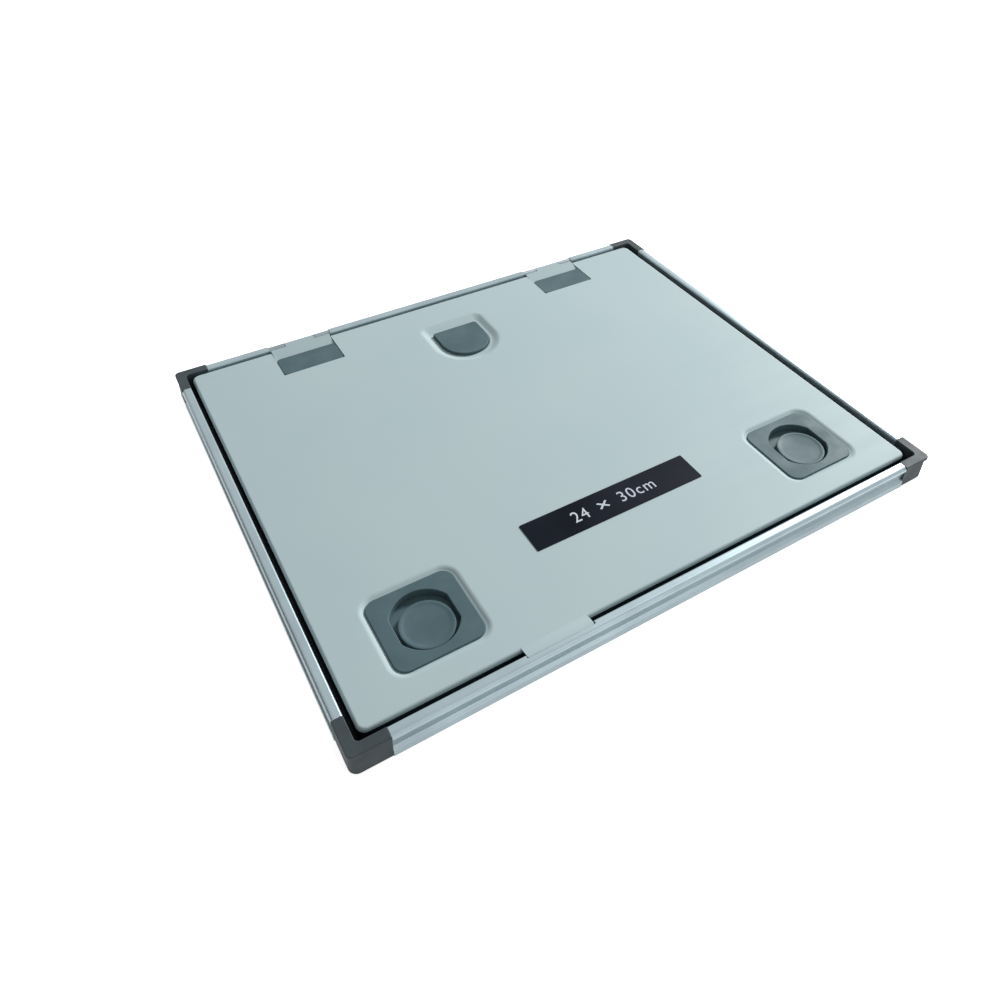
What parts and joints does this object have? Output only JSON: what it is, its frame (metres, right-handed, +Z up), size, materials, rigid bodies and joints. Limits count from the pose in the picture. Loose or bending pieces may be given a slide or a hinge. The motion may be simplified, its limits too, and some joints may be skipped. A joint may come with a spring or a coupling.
{
  "type": "x-ray film cassette",
  "caption": "Flat hinged x-ray film cassette: aluminium rail frame with plastic corner caps, painted sheet lid, sprung thumb latches, intensifying screens and pressure pad inside.",
  "frame": {"origin": "centre of the underside, on the plane the cassette lies on", "axes": "+X along the long side, +Y from the latch side to the hinge side, +Z up out of the lid"},
  "size_m": [0.327, 0.267, 0.015],
  "materials": {
    "rail_aluminium": "satin anodised extrusion",
    "corner_plastic": "fine matt moulded plastic",
    "front_laminate": "smooth low-absorption laminate",
    "screen_sheet": "smooth coated card",
    "felt": "black needled felt",
    "hinge_steel": "zinc plated steel",
    "leaf_paint": "satin paint over steel",
    "rivet_aluminium": "plain aluminium rivet",
    "lid_paint": "fine satin paint over aluminium sheet",
    "tray_aluminium": "mill finish sheet",
    "fitting_plastic": "fine textured moulded plastic",
    "plate_black": "satin black printed plate",
    "foam": "closed-cell foam",
    "lead": "dull lead foil"
  },
  "bodies": {
    "frame": {"frame_rail_front": "rail_aluminium", "frame_rail_rear": "rail_aluminium", "frame_rail_left": "rail_aluminium", "frame_rail_right": "rail_aluminium", "corner_cap_front_left": "corner_plastic", "corner_cap_front_right": "corner_plastic", "corner_cap_rear_left": "corner_plastic", "corner_cap_rear_right": "corner_plastic", "front_panel": "front_laminate", "front_screen": "screen_sheet", "felt_strip_front": "felt", "felt_strip_rear": "felt", "felt_strip_left": "felt", "felt_strip_right": "felt", "hinge_bracket_left": "hinge_steel", "hinge_bracket_right": "hinge_steel", "hinge_pin_left": "hinge_steel", "hinge_pin_right": "hinge_steel", "bracket_rivets": "rivet_aluminium"},
    "lid": {"back_cover": "lid_paint", "pressure_tray": "tray_aluminium", "lead_foil": "lead", "foam_pad": "foam", "rear_screen": "screen_sheet", "hinge_leaf_left": "leaf_paint", "hinge_leaf_right": "leaf_paint", "hinge_pad_left": "fitting_plastic", "hinge_pad_right": "fitting_plastic", "leaf_rivets": "rivet_aluminium", "dish_plug": "fitting_plastic", "size_plate": "plate_black", "latch_bezel_left": "fitting_plastic", "latch_bezel_right": "fitting_plastic", "latch_guide_left": "hinge_steel", "latch_guide_right": "hinge_steel", "guide_rivets": "rivet_aluminium", "latch_spring_left": "hinge_steel", "latch_spring_right": "hinge_steel"},
    "latch_left": {"thumb_slide_left": "fitting_plastic", "latch_bolt_left": "hinge_steel"},
    "latch_right": {"thumb_slide_right": "fitting_plastic", "latch_bolt_right": "hinge_steel"}
  },
  "joints": [
    {"name": "lid_hinge", "type": "hinge", "parent": "frame", "child": "lid", "pos_m": [0, 0.1307, 0.0127], "axis": [-1, 0, 0], "range_deg": [0, 110]},
    {"name": "latch_slide_left", "type": "slide", "parent": "lid", "child": "latch_left", "axis": [0, 1, 0], "range_m": [0, 0.004], "stiffness_N_per_m": 400, "springref_m": -0.005, "deforming": ["latch_spring_left"]},
    {"name": "latch_slide_right", "type": "slide", "parent": "lid", "child": "latch_right", "axis": [0, 1, 0], "range_m": [0, 0.004], "stiffness_N_per_m": 400, "springref_m": -0.005, "deforming": ["latch_spring_right"]}
  ]
}
